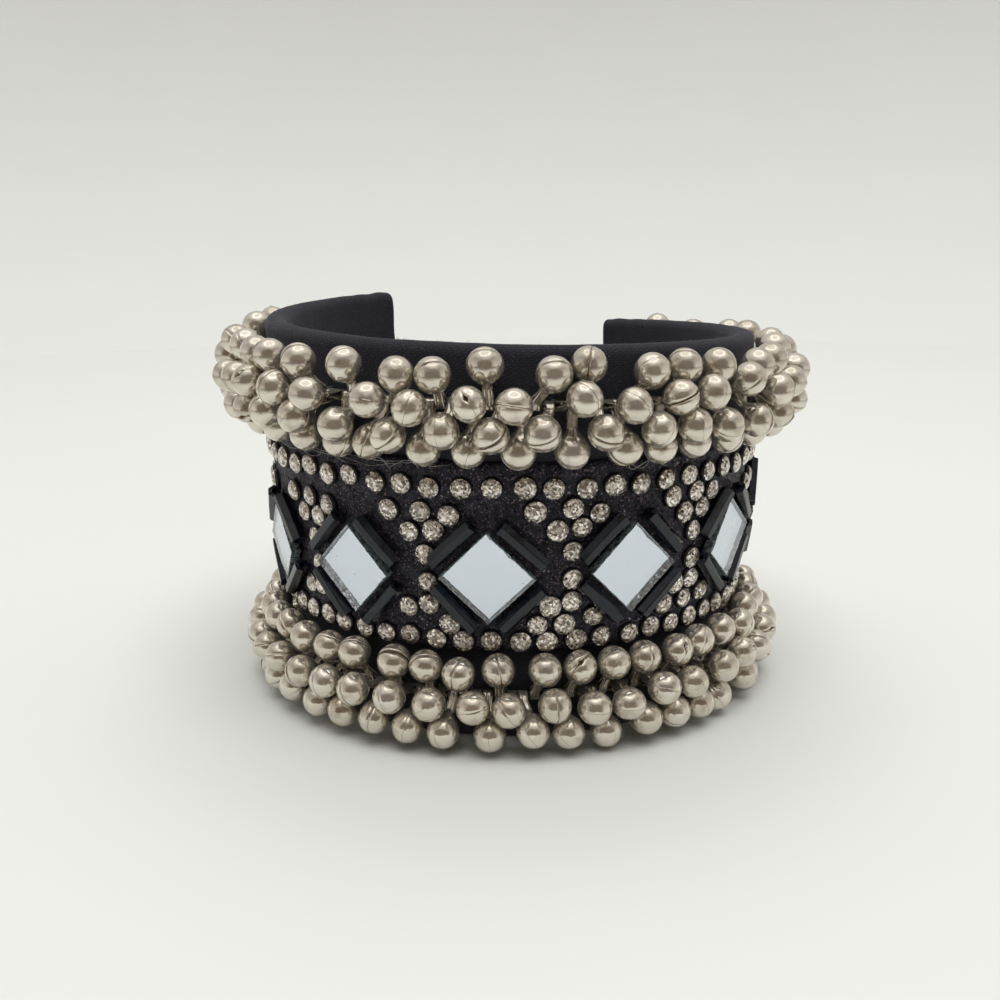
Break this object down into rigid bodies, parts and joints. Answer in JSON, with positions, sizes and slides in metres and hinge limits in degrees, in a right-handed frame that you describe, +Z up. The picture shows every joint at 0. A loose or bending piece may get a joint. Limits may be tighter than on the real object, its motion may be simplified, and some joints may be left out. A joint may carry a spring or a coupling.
{
  "type": "ghungroo cuff bracelet",
  "caption": "Open, tapering wrist cuff in black cover, with a glitter panel of square mirrors set on their corners in bugle beads, between strings of small round bells.",
  "frame": {"origin": "centre of the bounding box at the surface that the cuff stands on", "axes": "+Z up through the wrist opening, -Y towards the middle of the front, +Y towards the gap between the arms, +X to the right seen from the front"},
  "size_m": [0.0797, 0.0736, 0.0505],
  "materials": {
    "cover": "black cotton twill wrapped over a padded strip",
    "panel": "dark glue ground strewn with fine glitter",
    "thread": "black sewing thread",
    "bell": "pressed bells in worn warm nickel plating",
    "mirror": "silvered glass tile with cut edges",
    "bugle": "opaque black glass, glossy"
  },
  "bodies": {
    "root": {"cuff_band": "cover", "glitter_panel": "panel", "upper_thread": "thread", "lower_thread": "thread", "upper_bells": "bell", "lower_bells": "bell", "mirror_1": "mirror", "mirror_2": "mirror", "mirror_3": "mirror", "mirror_4": "mirror", "mirror_5": "mirror", "mirror_6": "mirror", "mirror_7": "mirror", "mirror_8": "mirror", "mirror_9": "mirror", "bugle_frame_1": "bugle", "bugle_frame_2": "bugle", "bugle_frame_3": "bugle", "bugle_frame_4": "bugle", "bugle_frame_5": "bugle", "bugle_frame_6": "bugle", "bugle_frame_7": "bugle", "bugle_frame_8": "bugle", "bugle_frame_9": "bugle"}
  },
  "joints": []
}
